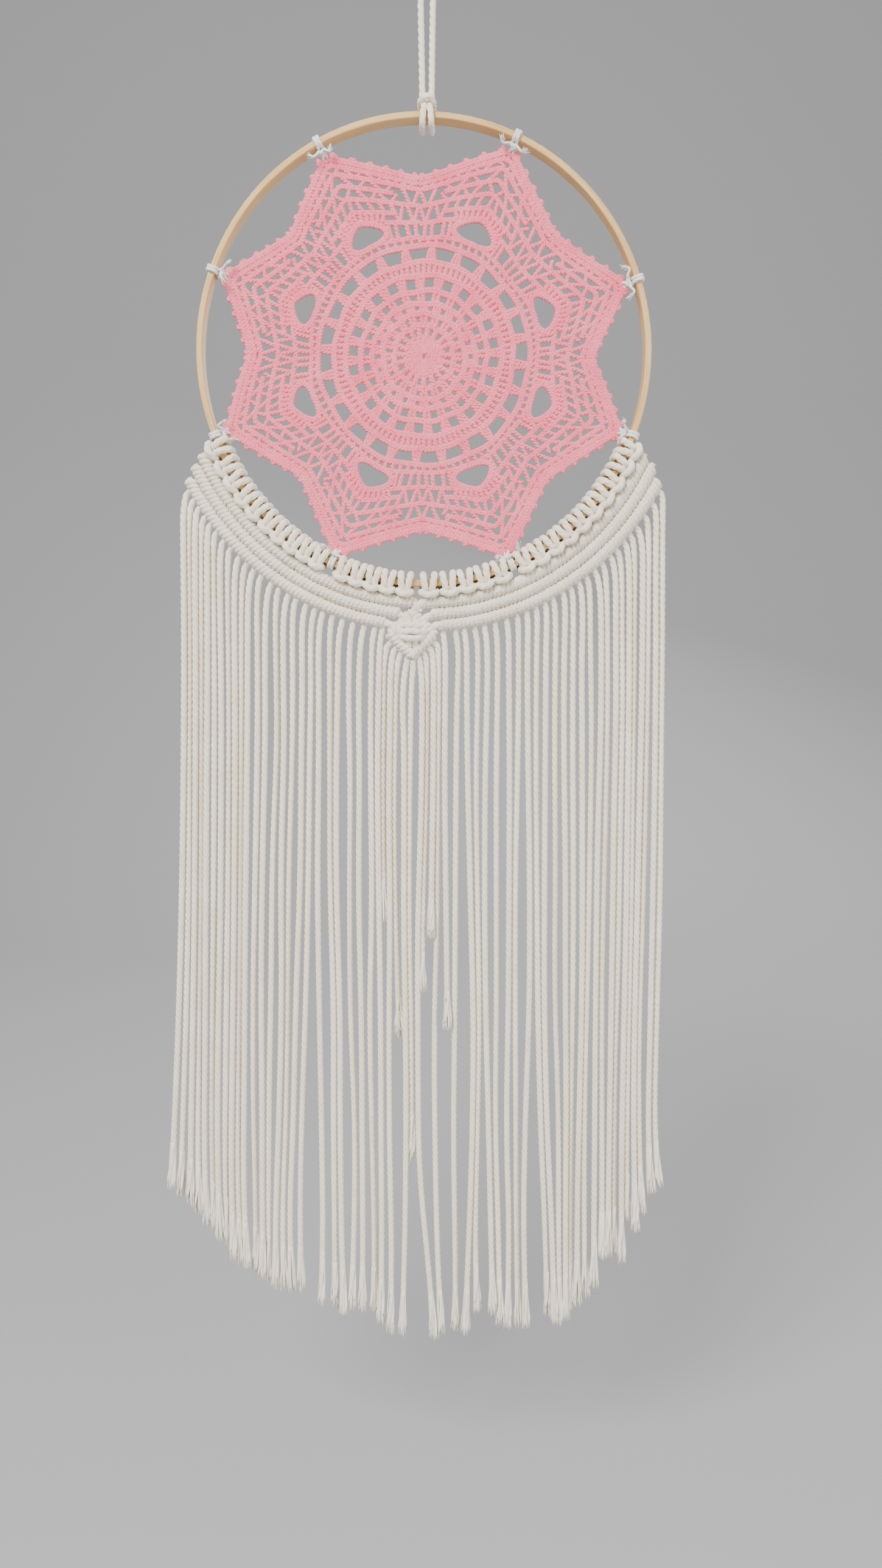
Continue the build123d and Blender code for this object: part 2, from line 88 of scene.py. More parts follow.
# The fringe's hanging lines, in millimetres from the ring's middle:
# exit height, x at each drop, x at the end, fall
DROPS = (0, 4, 10, 19, 36, 70, 125, 185, 245, 305)
TAILS = (
    (-58.5, (-106.8, -107.8, -108.5, -108.8, -109.2, -110.1, -112.0, -114.5, -117.8, -122.2), -124.6, 332),
    (-62.4, (-104.6, -105.6, -106.2, -106.6, -107.0, -107.8, -109.8, -112.1, -114.9, -118.6), -120.6, 333),
    (-66.0, (-102.4, -103.0, -103.4, -103.6, -104.0, -104.8, -106.8, -109.1, -111.8, -114.4), -115.4, 333),
    (-69.9, (-99.8, -100.6, -101.1, -101.4, -101.8, -102.6, -104.5, -106.8, -109.0, -111.5), -111.8, 334),
    (-73.1, (-97.4, -97.9, -98.2, -98.4, -98.8, -99.6, -101.5, -103.7, -105.9, -108.3), -108.0, 337),
    (-76.6, (-94.7, -95.3, -95.7, -95.9, -96.2, -96.9, -98.4, -100.5, -103.0, -105.0), -104.6, 337),
    (-80.4, (-91.5, -92.2, -92.6, -92.8, -93.1, -93.7, -95.2, -97.1, -99.8, -101.6), -101.2, 337),
    (-83.8, (-88.4, -89.0, -89.4, -89.6, -89.9, -90.4, -92.0, -94.3, -96.5, -98.5), -97.8, 337),
    (-87.6, (-84.6, -85.5, -86.1, -86.4, -86.7, -87.3, -89.0, -91.2, -93.4, -95.3), -94.6, 340),
    (-90.7, (-81.3, -82.4, -83.1, -83.5, -84.0, -84.8, -86.6, -88.7, -90.8, -92.7), -91.8, 340),
    (-93.4, (-78.1, -79.2, -80.0, -80.5, -80.9, -81.7, -83.5, -85.6, -87.6, -89.6), -88.6, 340),
    (-96.2, (-74.7, -75.7, -76.3, -76.6, -76.7, -77.4, -79.4, -82.0, -83.6, -83.8), -84.4, 340),
    (-99.5, (-70.2, -71.3, -72.1, -72.7, -73.2, -73.8, -76.2, -78.2, -78.9, -80.2), -80.8, 339),
    (-101.9, (-66.7, -67.5, -68.0, -68.2, -68.3, -68.5, -72.0, -73.6, -75.9, -77.4), -78.0, 338),
    (-104.5, (-62.5, -63.5, -64.2, -64.5, -64.7, -65.0, -67.9, -68.6, -70.9, -74.0), -74.4, 338),
    (-106.6, (-58.9, -59.8, -60.3, -60.5, -60.6, -61.4, -64.2, -66.0, -67.6, -71.2), -70.4, 338),
    (-109.0, (-54.3, -55.3, -55.9, -56.1, -56.2, -57.2, -58.4, -61.7, -64.0, -67.6), -66.4, 337),
    (-110.9, (-50.3, -51.3, -52.0, -52.3, -52.4, -53.6, -54.9, -57.1, -60.4, -62.4), -62.2, 336),
    (-112.5, (-46.6, -47.6, -48.2, -48.6, -48.7, -49.3, -50.7, -50.6, -50.3, -50.4), -52.0, 339),
    (-114.2, (-42.3, -43.0, -43.4, -43.6, -43.8, -44.2, -44.9, -43.9, -44.8, -44.9), -45.3, 340),
    (-115.8, (-37.6, -38.6, -39.3, -39.7, -40.1, -41.1, -41.9, -40.8, -41.5, -41.4), -40.8, 341),
    (-117.3, (-32.8, -33.7, -34.3, -34.7, -35.1, -34.6, -35.7, -36.1, -34.2, -35.6), -37.0, 338),
    (-118.6, (-27.8, -28.8, -29.5, -30.0, -30.4, -30.3, -31.3, -30.5, -30.8, -31.0), -31.8, 338),
    (-119.6, (-23.0, -23.8, -24.2, -24.5, -25.0, -25.2, -25.0, -26.8, -26.0, -25.3), -26.0, 338),
    (-120.3, (-19.4, -20.2, -20.7, -21.0, -21.5, -22.0, -21.8, -21.3, -21.6, -21.5), -22.6, 342),
    (-125.6, (-16.9, -17.9, -18.6, -18.9, -19.1, -19.8), -19.7, 131),
    (-128.6, (-14.2, -15.0, -15.6, -15.9, -16.1, -16.8, -16.6, -17.6, -17.5, -16.6), -18.0, 338),
    (-131.6, (-11.6, -12.6, -13.2, -13.6, -13.9, -14.6, -14.0), -12.6, 183),
    (-135.2, (-8.4, -9.2, -9.8, -10.2, -9.6, -9.7, -10.1, -9.3, -9.6, -10.8), -12.2, 334),
    (-136.2, (-5.2, -5.6, -6.0, -6.4, -6.8, -7.4, -7.8, -6.7), -6.6, 241),
    (-134.6, (-2.0, -1.6, -1.3, -1.2, -1.3, -1.8, -3.6, -3.5, -3.4, 2.2), 4.2, 336),
    (-131.4, (0.6, 1.0, 1.1, 1.2, 1.0, 0.6, -1.4), -1.6, 160),
    (-128.6, (3.3, 3.8, 4.1, 4.2, 4.0, 3.8), 2.6, 136),
    (-125.6, (5.9, 6.3, 6.5, 6.4, 6.3, 6.0, 5.9, 4.2, 4.6, 5.8), 7.8, 343),
    (-121.5, (8.6, 9.2, 9.5, 9.6, 9.4, 9.2, 9.9), 10.6, 188),
    (-121.0, (14.2, 15.0, 15.6, 15.4, 14.8, 14.5, 14.3, 14.1, 13.6, 14.7), 14.8, 347),
    (-120.4, (18.2, 19.0, 19.3, 19.4, 19.5, 20.0, 21.4, 23.1, 22.7, 21.0), 19.4, 347),
    (-119.6, (23.0, 24.0, 24.5, 24.6, 24.4, 24.0, 24.8, 25.8, 25.0, 24.2), 25.6, 337),
    (-118.7, (27.4, 28.2, 28.6, 28.8, 28.6, 28.0, 28.1, 29.0, 30.8, 32.3), 33.3, 338),
    (-117.4, (32.3, 33.0, 33.4, 33.6, 33.5, 33.3, 33.8, 34.3, 34.0, 36.2), 36.8, 345),
    (-115.8, (37.6, 38.2, 38.5, 38.6, 38.8, 39.3, 39.5, 39.7, 39.2, 41.5), 40.6, 350),
    (-114.2, (42.5, 42.9, 43.1, 43.2, 43.3, 43.1, 42.4, 43.0, 44.2, 44.9), 46.2, 352),
    (-112.4, (46.8, 47.1, 47.2, 47.1, 47.3, 48.0, 49.3, 49.8, 48.2, 48.0), 50.0, 352),
    (-110.6, (51.1, 51.5, 51.6, 51.5, 51.6, 51.9, 52.8, 53.8, 55.7, 59.1), 60.8, 349),
    (-108.5, (55.3, 55.6, 55.7, 55.5, 55.6, 55.8, 56.3, 56.9, 58.8, 62.2), 64.0, 353),
    (-106.6, (58.9, 59.6, 59.9, 60.1, 60.0, 60.4, 61.7, 62.1, 64.9, 65.4), 66.5, 356),
    (-104.0, (63.5, 63.9, 64.1, 64.0, 63.9, 64.3, 65.8, 66.7, 68.3, 68.9), 69.8, 357),
    (-101.7, (67.0, 67.7, 68.0, 68.1, 68.2, 68.5, 69.7, 70.6, 70.9, 71.2), 72.1, 355),
    (-99.2, (70.7, 71.4, 71.9, 72.1, 72.0, 72.9, 73.8, 74.7, 74.4, 74.2), 75.2, 353),
    (-96.6, (74.1, 75.0, 75.6, 75.8, 76.4, 77.6, 77.7, 77.3, 76.9, 77.8), 79.4, 352),
    (-93.7, (77.8, 79.0, 79.9, 80.3, 80.8, 81.3, 80.9, 81.4, 82.0, 82.6), 83.0, 348),
    (-90.7, (81.3, 82.3, 82.9, 83.2, 83.7, 84.6, 84.9, 84.6, 85.6, 86.6), 87.0, 337),
    (-87.3, (84.9, 85.9, 86.7, 87.0, 87.3, 88.1, 88.0, 88.6, 89.2, 89.8), 90.3, 340),
    (-84.5, (87.8, 88.9, 89.7, 90.0, 90.3, 91.1, 91.2, 92.0, 91.8, 92.5), 93.5, 342),
    (-80.9, (91.1, 91.9, 92.6, 93.0, 93.4, 94.2, 94.6, 95.1, 94.9, 95.6), 96.8, 349),
    (-77.8, (93.7, 94.8, 95.4, 95.6, 96.0, 96.7, 96.9, 97.4, 97.3, 98.3), 99.5, 330),
    (-74.3, (96.5, 97.8, 98.6, 98.8, 99.1, 99.8, 100.1, 100.5, 100.4, 101.6), 103.0, 338),
    (-69.3, (100.1, 101.0, 101.5, 101.7, 101.9, 102.6, 103.4, 103.5, 102.8, 104.2), 106.4, 335),
    (-64.0, (103.6, 104.3, 104.5, 104.6, 105.0, 105.8, 106.6, 107.3, 107.9, 108.3), 111.0, 330),
    (-58.5, (106.8, 107.4, 107.6, 107.7, 108.1, 108.8, 109.6, 111.0, 111.2, 111.5), 115.0, 333),
)
# How far in front of or behind the ring's plane a pair of tails drifts at each drop and at its end
SWAYS = (
    (0.0, 0.0, 0.1, 0.2, 0.5, 0.9, 0.3, -0.6, -1.2, -0.7, 0.2),
    (0.0, 0.0, -0.1, -0.3, -0.5, -0.3, 0.6, 1.4, 0.8, -0.4, -1.0),
    (0.0, 0.1, 0.2, 0.2, 0.0, -0.6, -1.3, -0.8, 0.4, 1.3, 1.6),
)

LOOP = [
    (-0.0020, 0, -0.059265), (-0.0024, 0, -0.030), (-0.00295, 0, -0.008), (-0.00285, 0, 0.00135),
    (0.00285, 0, 0.00135), (0.00295, 0, -0.008), (0.0024, 0, -0.030), (0.0020, 0, -0.059265),
]


# ---------------------------------------------------------------- materials
class Nodes:
    """A material's node tree, with short helpers."""

    def __init__(self, name):
        self.mat = bpy.data.materials.new(name)
        self.mat.use_nodes = True
        self.tree = self.mat.node_tree
        self.shader = self.tree.nodes["Principled BSDF"]

    def add(self, kind, **values):
        node = self.tree.nodes.new(kind)
        for key, value in values.items():
            if key in node.inputs:
                node.inputs[key].default_value = value
            else:
                setattr(node, key, value)
        return node

    def link(self, a, b):
        self.tree.links.new(a, b)

    def ramp(self, factor, stops):
        node = self.add("ShaderNodeValToRGB")
        self.link(factor, node.inputs["Fac"])
        elements = node.color_ramp.elements
        while len(elements) < len(stops):
            elements.new(0.5)
        for element, (place, colour) in zip(elements, stops):
            element.position = place
            element.color = (*colour, 1)
        return node.outputs["Color"]

    def bump(self, height, strength, distance, normal=None):
        node = self.add("ShaderNodeBump", Strength=strength, Distance=distance)
        self.link(height, node.inputs["Height"])
        if normal is not None:
            self.link(normal, node.inputs["Normal"])
        return node.outputs["Normal"]


def yarn(name, dark, mid, light, streak, fuzz=0.25):
    """Spun yarn: fibres that run round the ply, cloudy colour, soft sheen. UV: u round, v along in mm."""
    n = Nodes(name)
    uv = n.add("ShaderNodeUVMap", uv_map="UVMap")
    split = n.add("ShaderNodeMapping")
    split.inputs["Scale"].default_value = (streak, 0.55, 1)
    split.inputs["Rotation"].default_value = (0, 0, 0.35)
    n.link(uv.outputs["UV"], split.inputs["Vector"])
    fibre = n.add("ShaderNodeTexNoise", Scale=1.0, Detail=4.0, Roughness=0.6)
    n.link(split.outputs["Vector"], fibre.inputs["Vector"])
    place = n.add("ShaderNodeTexCoord")
    cloud = n.add("ShaderNodeTexNoise", Scale=90.0, Detail=3.0, Roughness=0.55)
    n.link(place.outputs["Object"], cloud.inputs["Vector"])
    fine = n.add("ShaderNodeTexNoise", Scale=2600.0, Detail=2.0)
    n.link(place.outputs["Object"], fine.inputs["Vector"])
    base = n.ramp(cloud.outputs["Fac"], ((0.3, mid), (0.7, light)))
    shade = n.ramp(fibre.outputs["Fac"], ((0.28, dark), (0.52, (1, 1, 1))))
    mix = n.add("ShaderNodeMix", data_type="RGBA", blend_type="MULTIPLY")
    mix.inputs[0].default_value = 0.55
    n.link(base, mix.inputs[6])
    n.link(shade, mix.inputs[7])
    n.link(mix.outputs[2], n.shader.inputs["Base Color"])
    first = n.bump(fibre.outputs["Fac"], 0.55, 0.0004)
    n.link(n.bump(fine.outputs["Fac"], 0.35, 0.0002, first), n.shader.inputs["Normal"])
    n.shader.inputs["Roughness"].default_value = 0.9
    n.shader.inputs["Sheen Weight"].default_value = fuzz
    n.shader.inputs["Sheen Roughness"].default_value = 0.45
    n.shader.inputs["Specular IOR Level"].default_value = 0.2
    return n.mat


cotton = yarn("natural_cotton", (0.66, 0.60, 0.50), (0.90, 0.81, 0.655), (0.97, 0.905, 0.775), 9.0)
# painted light: the frayed fibres get a lighter copy of the cotton, with paler colours and fainter fibre
# streaks, standing in for the light that loose cotton fibres scatter
frayed_painted_light = yarn("frayed_cotton_painted_light", (0.86, 0.79, 0.67), (0.95, 0.885, 0.755), (0.98, 0.935, 0.84), 2.0, 0.35)
pink = yarn("pink_yarn", (0.66, 0.34, 0.39), (0.94, 0.19, 0.265), (0.98, 0.265, 0.345), 5.0)
thread = yarn("white_thread", (0.74, 0.72, 0.68), (0.88, 0.86, 0.81), (0.94, 0.93, 0.90), 5.0)


def bamboo():
    """Pale split bamboo: long fibres round the ring, darker flecks and faint nodes."""
    n = Nodes("bamboo")
    place = n.add("ShaderNodeTexCoord")
    shift = n.add("ShaderNodeMapping")
    shift.inputs["Location"].default_value = tuple(-CENTRE)
    n.link(place.outputs["Object"], shift.inputs["Vector"])
    axes = n.add("ShaderNodeSeparateXYZ")
    n.link(shift.outputs["Vector"], axes.inputs["Vector"])
    turn = n.add("ShaderNodeMath", operation="ARCTAN2")
    n.link(axes.outputs["X"], turn.inputs[0])
    n.link(axes.outputs["Z"], turn.inputs[1])
    length = n.add("ShaderNodeVectorMath", operation="LENGTH")
    flat = n.add("ShaderNodeCombineXYZ")
    n.link(axes.outputs["X"], flat.inputs["X"])
    n.link(axes.outputs["Z"], flat.inputs["Y"])
    n.link(flat.outputs["Vector"], length.inputs[0])
    strip = n.add("ShaderNodeCombineXYZ")
    for source, scale, socket in (
        (turn.outputs[0], 6.0, "X"), (axes.outputs["Y"], 2400.0, "Y"), (length.outputs["Value"], 2400.0, "Z")
    ):
        times = n.add("ShaderNodeMath", operation="MULTIPLY")
        times.inputs[1].default_value = scale
        n.link(source, times.inputs[0])
        n.link(times.outputs[0], strip.inputs[socket])
    grain = n.add("ShaderNodeTexNoise", Scale=1.0, Detail=5.0, Roughness=0.6)
    n.link(strip.outputs["Vector"], grain.inputs["Vector"])
    cloud = n.add("ShaderNodeTexNoise", Scale=22.0, Detail=3.0)
    n.link(place.outputs["Object"], cloud.inputs["Vector"])
    tans = ((0.25, (0.50, 0.25, 0.08)), (0.45, (0.72, 0.45, 0.17)), (0.7, (0.82, 0.57, 0.26)))
    fibres = n.ramp(grain.outputs["Fac"], tans)
    tone = n.ramp(cloud.outputs["Fac"], ((0.3, (0.86, 0.82, 0.76)), (0.7, (1, 1, 1))))
    mix = n.add("ShaderNodeMix", data_type="RGBA", blend_type="MULTIPLY")
    mix.inputs[0].default_value = 1.0
    n.link(fibres, mix.inputs[6])
    n.link(tone, mix.inputs[7])
    n.link(mix.outputs[2], n.shader.inputs["Base Color"])
    n.link(n.bump(grain.outputs["Fac"], 0.3, 0.0002), n.shader.inputs["Normal"])
    rough = n.add("ShaderNodeMapRange")
    rough.inputs["To Min"].default_value = 0.42
    rough.inputs["To Max"].default_value = 0.62
    n.link(grain.outputs["Fac"], rough.inputs["Value"])
    n.link(rough.outputs["Result"], n.shader.inputs["Roughness"])
    return n.mat


def plain(name, colour):
    n = Nodes(name)
    n.shader.inputs["Base Color"].default_value = (*colour, 1)
    n.shader.inputs["Roughness"].default_value = 0.85
    return n.mat


# ---------------------------------------------------------------- strands
def frames(points, first=None):
    """Unit tangents and a pair of normals carried along a line without twist."""
    points = np.asarray(points, float)
    tangents = np.gradient(points, axis=0)
    tangents /= np.linalg.norm(tangents, axis=1)[:, None] + 1e-12
    normal = np.array((0.0, 1.0, 0.0)) if first is None else np.asarray(first, float)
    if abs(normal @ tangents[0]) > 0.95:
        normal = np.array((1.0, 0.0, 0.0))
    normals = np.empty_like(points)
    for i, tangent in enumerate(tangents):
        normal = normal - (normal @ tangent) * tangent
        normal /= np.linalg.norm(normal)
        normals[i] = normal
    return points, tangents, normals, np.cross(tangents, normals)


def lengths(points):
    return np.concatenate(([0.0], np.cumsum(np.linalg.norm(np.diff(points, axis=0), axis=1))))


def resample(points, step):
    points = np.asarray(points, float)
    along = lengths(points)
    count = max(3, int(round(along[-1] / step)) + 1)
    where = np.linspace(0, along[-1], count)
    return np.stack([np.interp(where, along, points[:, k]) for k in range(3)], axis=1)


def smooth(controls, step):
    """A smooth line through a few chosen points (Catmull-Rom), resampled."""
    p = np.asarray(controls, float)
    p = np.vstack((2 * p[0] - p[1], p, 2 * p[-1] - p[-2]))
    out = []
    for a, b, c, d in zip(p, p[1:], p[2:], p[3:]):
        t = np.linspace(0, 1, 12, endpoint=False)[:, None]
        second, third = (2 * a - 5 * b + 4 * c - d) * t**2, (3 * b - a - 3 * c + d) * t**3
        out.append(0.5 * (2 * b + (c - a) * t + second + third))
    out.append(p[-2][None])
    return resample(np.vstack(out), step)


class Bundle:
    """Gathers strands and makes one mesh of them."""

    def __init__(self):
        self.verts, self.faces, self.uvs, self.count, self.slots = [], [], [], 0, []

    def strand(
        self, points, radius, sides=8, plies=0, depth=0.2, pitch=0.009, phase=0.0, first=None, slot=0,
    ):
        """A tube along points. With plies, its outline has that many lobes, which turn once in each pitch."""
        before = sum(len(f) for f in self.faces)
        points, _, normals, across = frames(points, first)
        along = lengths(points)
        n = len(points)
        radius = np.broadcast_to(np.asarray(radius, float), (n,))
        turn = np.linspace(0, 2 * np.pi, sides, endpoint=False)
        angle = turn[None, :] + phase + (2 * np.pi / pitch * along[:, None] if plies else 0)
        size = radius[:, None] * np.ones((1, sides))
        if plies:
            size = size * (1 - depth * (1 - np.abs(np.sin(plies / 2 * turn))))[None, :]
        ring = normals[:, None, :] * np.cos(angle)[..., None] + across[:, None, :] * np.sin(angle)[..., None]
        self.verts.append((points[:, None, :] + ring * size[..., None]).reshape(-1, 3))
        i = np.arange(n - 1)[:, None] * sides
        j = np.arange(sides)[None, :]
        after = (i + sides) % (n * sides)
        k = (j + 1) % sides
        self.faces.append((np.stack((i + j, i + k, after + k, after + j), -1).reshape(-1, 4)) + self.count)
        u = j / sides + 0 * i
        v = (along[np.arange(len(i))][:, None] + 0 * j) / MM
        step = along[1] / MM
        one = 1 / sides
        quad = ((u, v), (u + one, v), (u + one, v + step), (u, v + step))
        self.uvs.append(np.stack([np.stack(c, -1) for c in quad], 2).reshape(-1, 2))
        for end, flip in ((0, 1), (n - 1, -1)):
            centre = self.count + n * sides + (0 if end == 0 else 1)
            self.verts.append(points[end][None])
            base = self.count + end * sides + np.arange(sides)
            following = self.count + end * sides + (np.arange(sides) + 1) % sides
            cap = np.stack((following, base, np.full(sides, centre), np.full(sides, centre)), -1)
            self.faces.append(cap if flip > 0 else cap[:, [1, 0, 2, 3]])
            self.uvs.append(np.zeros((4 * sides, 2)))
        self.count += n * sides + 2
        self.slots.append((slot, sum(len(f) for f in self.faces) - before))

    def make(self, name, material, body):
        mesh = bpy.data.meshes.new(name)
        verts = np.vstack(self.verts)
        faces = [tuple(f) if f[2] != f[3] else tuple(f[:3]) for f in np.vstack(self.faces).tolist()]
        mesh.from_pydata(verts.tolist(), [], faces)
        layer = mesh.uv_layers.new(name="UVMap")
        uv = np.vstack(self.uvs).reshape(-1, 4, 2)
        flat = np.concatenate([q if len(f) == 4 else q[:3] for q, f in zip(uv, faces)]).ravel()
        layer.data.foreach_set("uv", flat.astype(np.float32))
        mesh.polygons.foreach_set("use_smooth", [True] * len(mesh.polygons))
        for one in material if isinstance(material, tuple) else (material,):
            mesh.materials.append(one)
        materials = np.concatenate([np.full(count, which) for which, count in self.slots])
        mesh.polygons.foreach_set("material_index", materials.astype(np.int32))
        obj = bpy.data.objects.new(name, mesh)
        bpy.context.scene.collection.objects.link(obj)
        if isinstance(body, tuple):
            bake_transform(obj)
        else:
            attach(obj, body)
        return obj


def nurbs(points, name):
    """The smooth line of a cord's route, read back from its NURBS spline."""
    curve = bpy.data.curves.new(name, "CURVE")
    curve.dimensions = "3D"
    spline = curve.splines.new("NURBS")
    spline.points.add(len(points) - 1)
    for point, place in zip(spline.points, points):
        point.co = (*place, 1)
    spline.order_u = 3
    spline.use_endpoint_u = True
    curve.resolution_u = 24
    obj = bpy.data.objects.new(name, curve)
    bpy.context.scene.collection.objects.link(obj)
    mesh = bpy.data.meshes.new_from_object(obj)
    line = np.array([v.co[:] for v in mesh.vertices])
    bpy.data.objects.remove(obj)
    bpy.data.curves.remove(curve)
    bpy.data.meshes.remove(mesh)
    return line


def at(radius, angle, y=0.0, offset=0.0):
    """A place at a radius and an angle from straight down, with an offset along the ring."""
    turn = math.radians(angle)
    out = np.array((math.sin(turn), 0, -math.cos(turn)))
    along = np.array((math.cos(turn), 0, math.sin(turn)))
    return CENTRE + radius * out + offset * along + np.array((0, y, 0))


# ---------------------------------------------------------------- fringe
def fray(bundle, line, length, spread, count):
    """The untwisted end of a cord: three opened plies and a tuft of fibres."""
    points, tangents, normals, across = frames(line)
    along = lengths(points)
    total = along[-1]

    def place(s, a, b):
        s = min(max(s, 0), total)
        return np.array([np.interp(s, along, (points + a * normals + b * across)[:, k]) for k in range(3)])

    for ply in range(3):
        turn = 2 * math.pi * (ply + rng.random() * 0.6) / 3
        reach = total - rng.uniform(0.002, 0.007)
        begin = total - length * 0.85
        path = []
        for i in range(10):
            t = i / 9
            out = 0.0006 + spread * 0.5 * t**1.2
            swing = turn + 1.6 * t
            path.append(place(begin + (reach - begin) * t, out * math.cos(swing), out * math.sin(swing)))
        bundle.strand(np.array(path), np.linspace(0.00088, 0.00055, 10), 6, slot=1)
    for _ in range(count):
        turn = rng.uniform(0, 2 * math.pi)
        reach = total - abs(rng.gauss(0, 0.0022))
        begin = total - length * rng.uniform(0.45, 1.0)
        out = spread * rng.random() ** 0.4
        wave = rng.uniform(0.0001, 0.0004)
        beat = rng.uniform(0, 6.3)
        path = []
        for i in range(9):
            t = i / 8
            r = 0.0010 * (1 - t) + (out - 0.0004) * t**1.1
            r += wave * math.sin(beat + 8 * t) * t
            path.append(place(begin + (reach - begin) * t, r * math.cos(turn), r * math.sin(turn)))
        bundle.strand(np.array(path), np.linspace(0.00034, 0.00024, 9), 4, slot=1)


# How much of the pair's stagger each point of a route has: none where the cord leaves its knot
APART = (0, 0.4) + (1,) * 10
STAGGER = 0.9
DIAMOND_TAILS = range(26, 35)
for number, (exit_height, across_mm, end_across, fall) in enumerate(TAILS, 1):
    pair = (number + 1) // 2
    sway = SWAYS[(pair - 1) % 3]
    stagger = -STAGGER if number % 2 else STAGGER
    drops = DROPS[: len(across_mm)] + (fall,)
    route = [
        (CENTRE[0] + x * MM, (share * stagger + y) * MM, CENTRE[2] + (exit_height - drop) * MM)
        for x, y, drop, share in zip(across_mm + (end_across,), sway, drops, APART)
    ]
    towards = (DIAMOND if number in DIAMOND_TAILS else CENTRE) - np.array(route[0])
    towards = towards / np.linalg.norm(towards)
    inside = np.array(route[0]) + towards * 0.0034 + np.array((0, -0.0004, 0))
    line = nurbs([tuple(inside)] + route, f"route_{number}")
    fine = resample(line, CORD_STEP)
    total = lengths(fine)[-1]
    cut = 0.020 if fall > 200 else 0.016
    body_line = fine[lengths(fine) <= total - cut]
    cord = Bundle()
    radius = np.full(len(body_line), CORD_R * 1.05)
    radius[-6:] *= np.linspace(1.0, 0.8, 6)
    cord.strand(body_line, radius, 15, plies=3, depth=0.26, pitch=CORD_PITCH, phase=rng.uniform(0, 6))
    fray(cord, fine, cut * 1.45, rng.uniform(0.0023, 0.0030), 44)
    # slot 1, the frayed fibres, takes the cotton copy lightened as painted light
    obj = cord.make(f"tail_{number:02d}", (cotton, frayed_painted_light), f"fringe_{pair:02d}")
    if number % 2 == 0:
        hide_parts(f"tail_pair_{pair:02d}")

# ---------------------------------------------------------------- loop
line = resample(nurbs(LOOP, "route_loop"), CORD_STEP)
loop = Bundle()
loop.strand(line, CORD_R * 1.04, 15, plies=3, depth=0.26, pitch=CORD_PITCH)
loop_obj = loop.make("loop", cotton, ("hanger", "knot", (0, 0, -0.016), (0, 0, -0.0585)))
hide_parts("hanging_loop")

# ---------------------------------------------------------------- lark's heads
def head_line(angle, slack=0.0, neck=0.1052, spread=1.0):
    """One mounting cord: up in front of the ring, over it, round behind and across under its own legs."""
    g = slack
    half = [
        (-1.30, neck, -0.8), (-1.30, 0.1037 + g, -1.9), (-1.30, 0.1020 + g, -3.7), (-1.50, 0.1003 + g, -5.1),
        (-1.90, 0.0981, -5.8), (-2.25, 0.0958 - g, -5.2), (-2.35, 0.0951 - g, -2.8), (-2.30, 0.0951 - g, 2.8),
        (-2.40, 0.0959 - g, 5.2), (-2.60, 0.0984, 5.7), (-2.95, 0.1010 + g, 5.1), (-3.20, 0.1020 + g, 2.4),
        (-3.30, 0.1022 + g, -1.8), (-3.10, 0.1024 + g, -4.9), (-1.80, 0.1032 + g, -6.5),
    ]
    line = [at(r, angle, y * MM, t * spread * MM) for t, r, y in half]
    line.append(at(0.1035 + g, angle, -6.9 * MM, 0))
    line += [at(r, angle, y * MM, -t * spread * MM) for t, r, y in reversed(half)]
    return smooth(line, CORD_STEP)


for side, angles in (("left", LEFT_HEADS), ("right", RIGHT_HEADS)):
    heads = Bundle()
    for i, angle in enumerate(angles):
        gap = min(abs(angle - other) for other in angles if other != angle)
        wide = min(1.08, max(0.84, gap / 4.75))
        turned = angle + rng.uniform(-0.2, 0.2)
        line = head_line(turned, rng.uniform(0, 0.0003), spread=wide * rng.uniform(0.97, 1.03))
        heads.strand(
            line, CORD_R * 1.2, 12, plies=3, depth=0.22, pitch=CORD_PITCH, phase=rng.uniform(0, 6),
            first=(0.3, 1, 0.2),
        )
    obj = heads.make(f"lark_heads_{side}_cord", cotton, "ring")
    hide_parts(f"lark_heads_{side}")

knot = Bundle()
line = head_line(180, 0.00095, neck=0.10535, spread=0.85)
line[:, 0] += 0.0015
knot.strand(line, CORD_R * 1.04, 14, plies=3, depth=0.24, pitch=CORD_PITCH)
obj = knot.make("hanging_knot_cord", cotton, "knot")
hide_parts("hanging_knot")


# ---------------------------------------------------------------- hitched rows
def wraps(bundle, line, ring_r, cord_r, spacing, slant):
    """Slanted turns of cord laid side by side round a holding cord."""
    line = np.asarray(line)
    along = lengths(line)
    count = int(round(along[-1] / spacing))
    tangent_line = np.gradient(line, axis=0)
    for i in range(count):
        s = (i + 0.5) * along[-1] / count + rng.uniform(-0.00012, 0.00012)
        centre = np.array([np.interp(s, along, line[:, k]) for k in range(3)])
        tangent = np.array([np.interp(s, along, tangent_line[:, k]) for k in range(3)])
        tangent /= np.linalg.norm(tangent)
        y = np.array((0.0, 1.0, 0.0))
        out = np.cross(tangent, y)
        turn = np.linspace(0, 2 * np.pi, 22, endpoint=False)
        swing = (slant + rng.uniform(-0.12, 0.12)) * (1 if i % 2 else 0.82)
        r = ring_r * rng.uniform(0.96, 1.06)
        path = (
            centre[None] + r * np.cos(turn)[:, None] * out[None] + r * np.sin(turn)[:, None] * y[None]
            + (swing * r * np.cos(turn))[:, None] * tangent[None]
        )
        path = np.vstack((path, path[:1]))
        thick = cord_r * rng.uniform(0.95, 1.06)
        bundle.strand(path, thick, 10, plies=3, depth=0.12, pitch=0.0042, first=tangent)


def arc(radius, start, end, step=0.6):
    return np.array([at(radius, a) for a in np.arange(start, end + step / 2, step)])


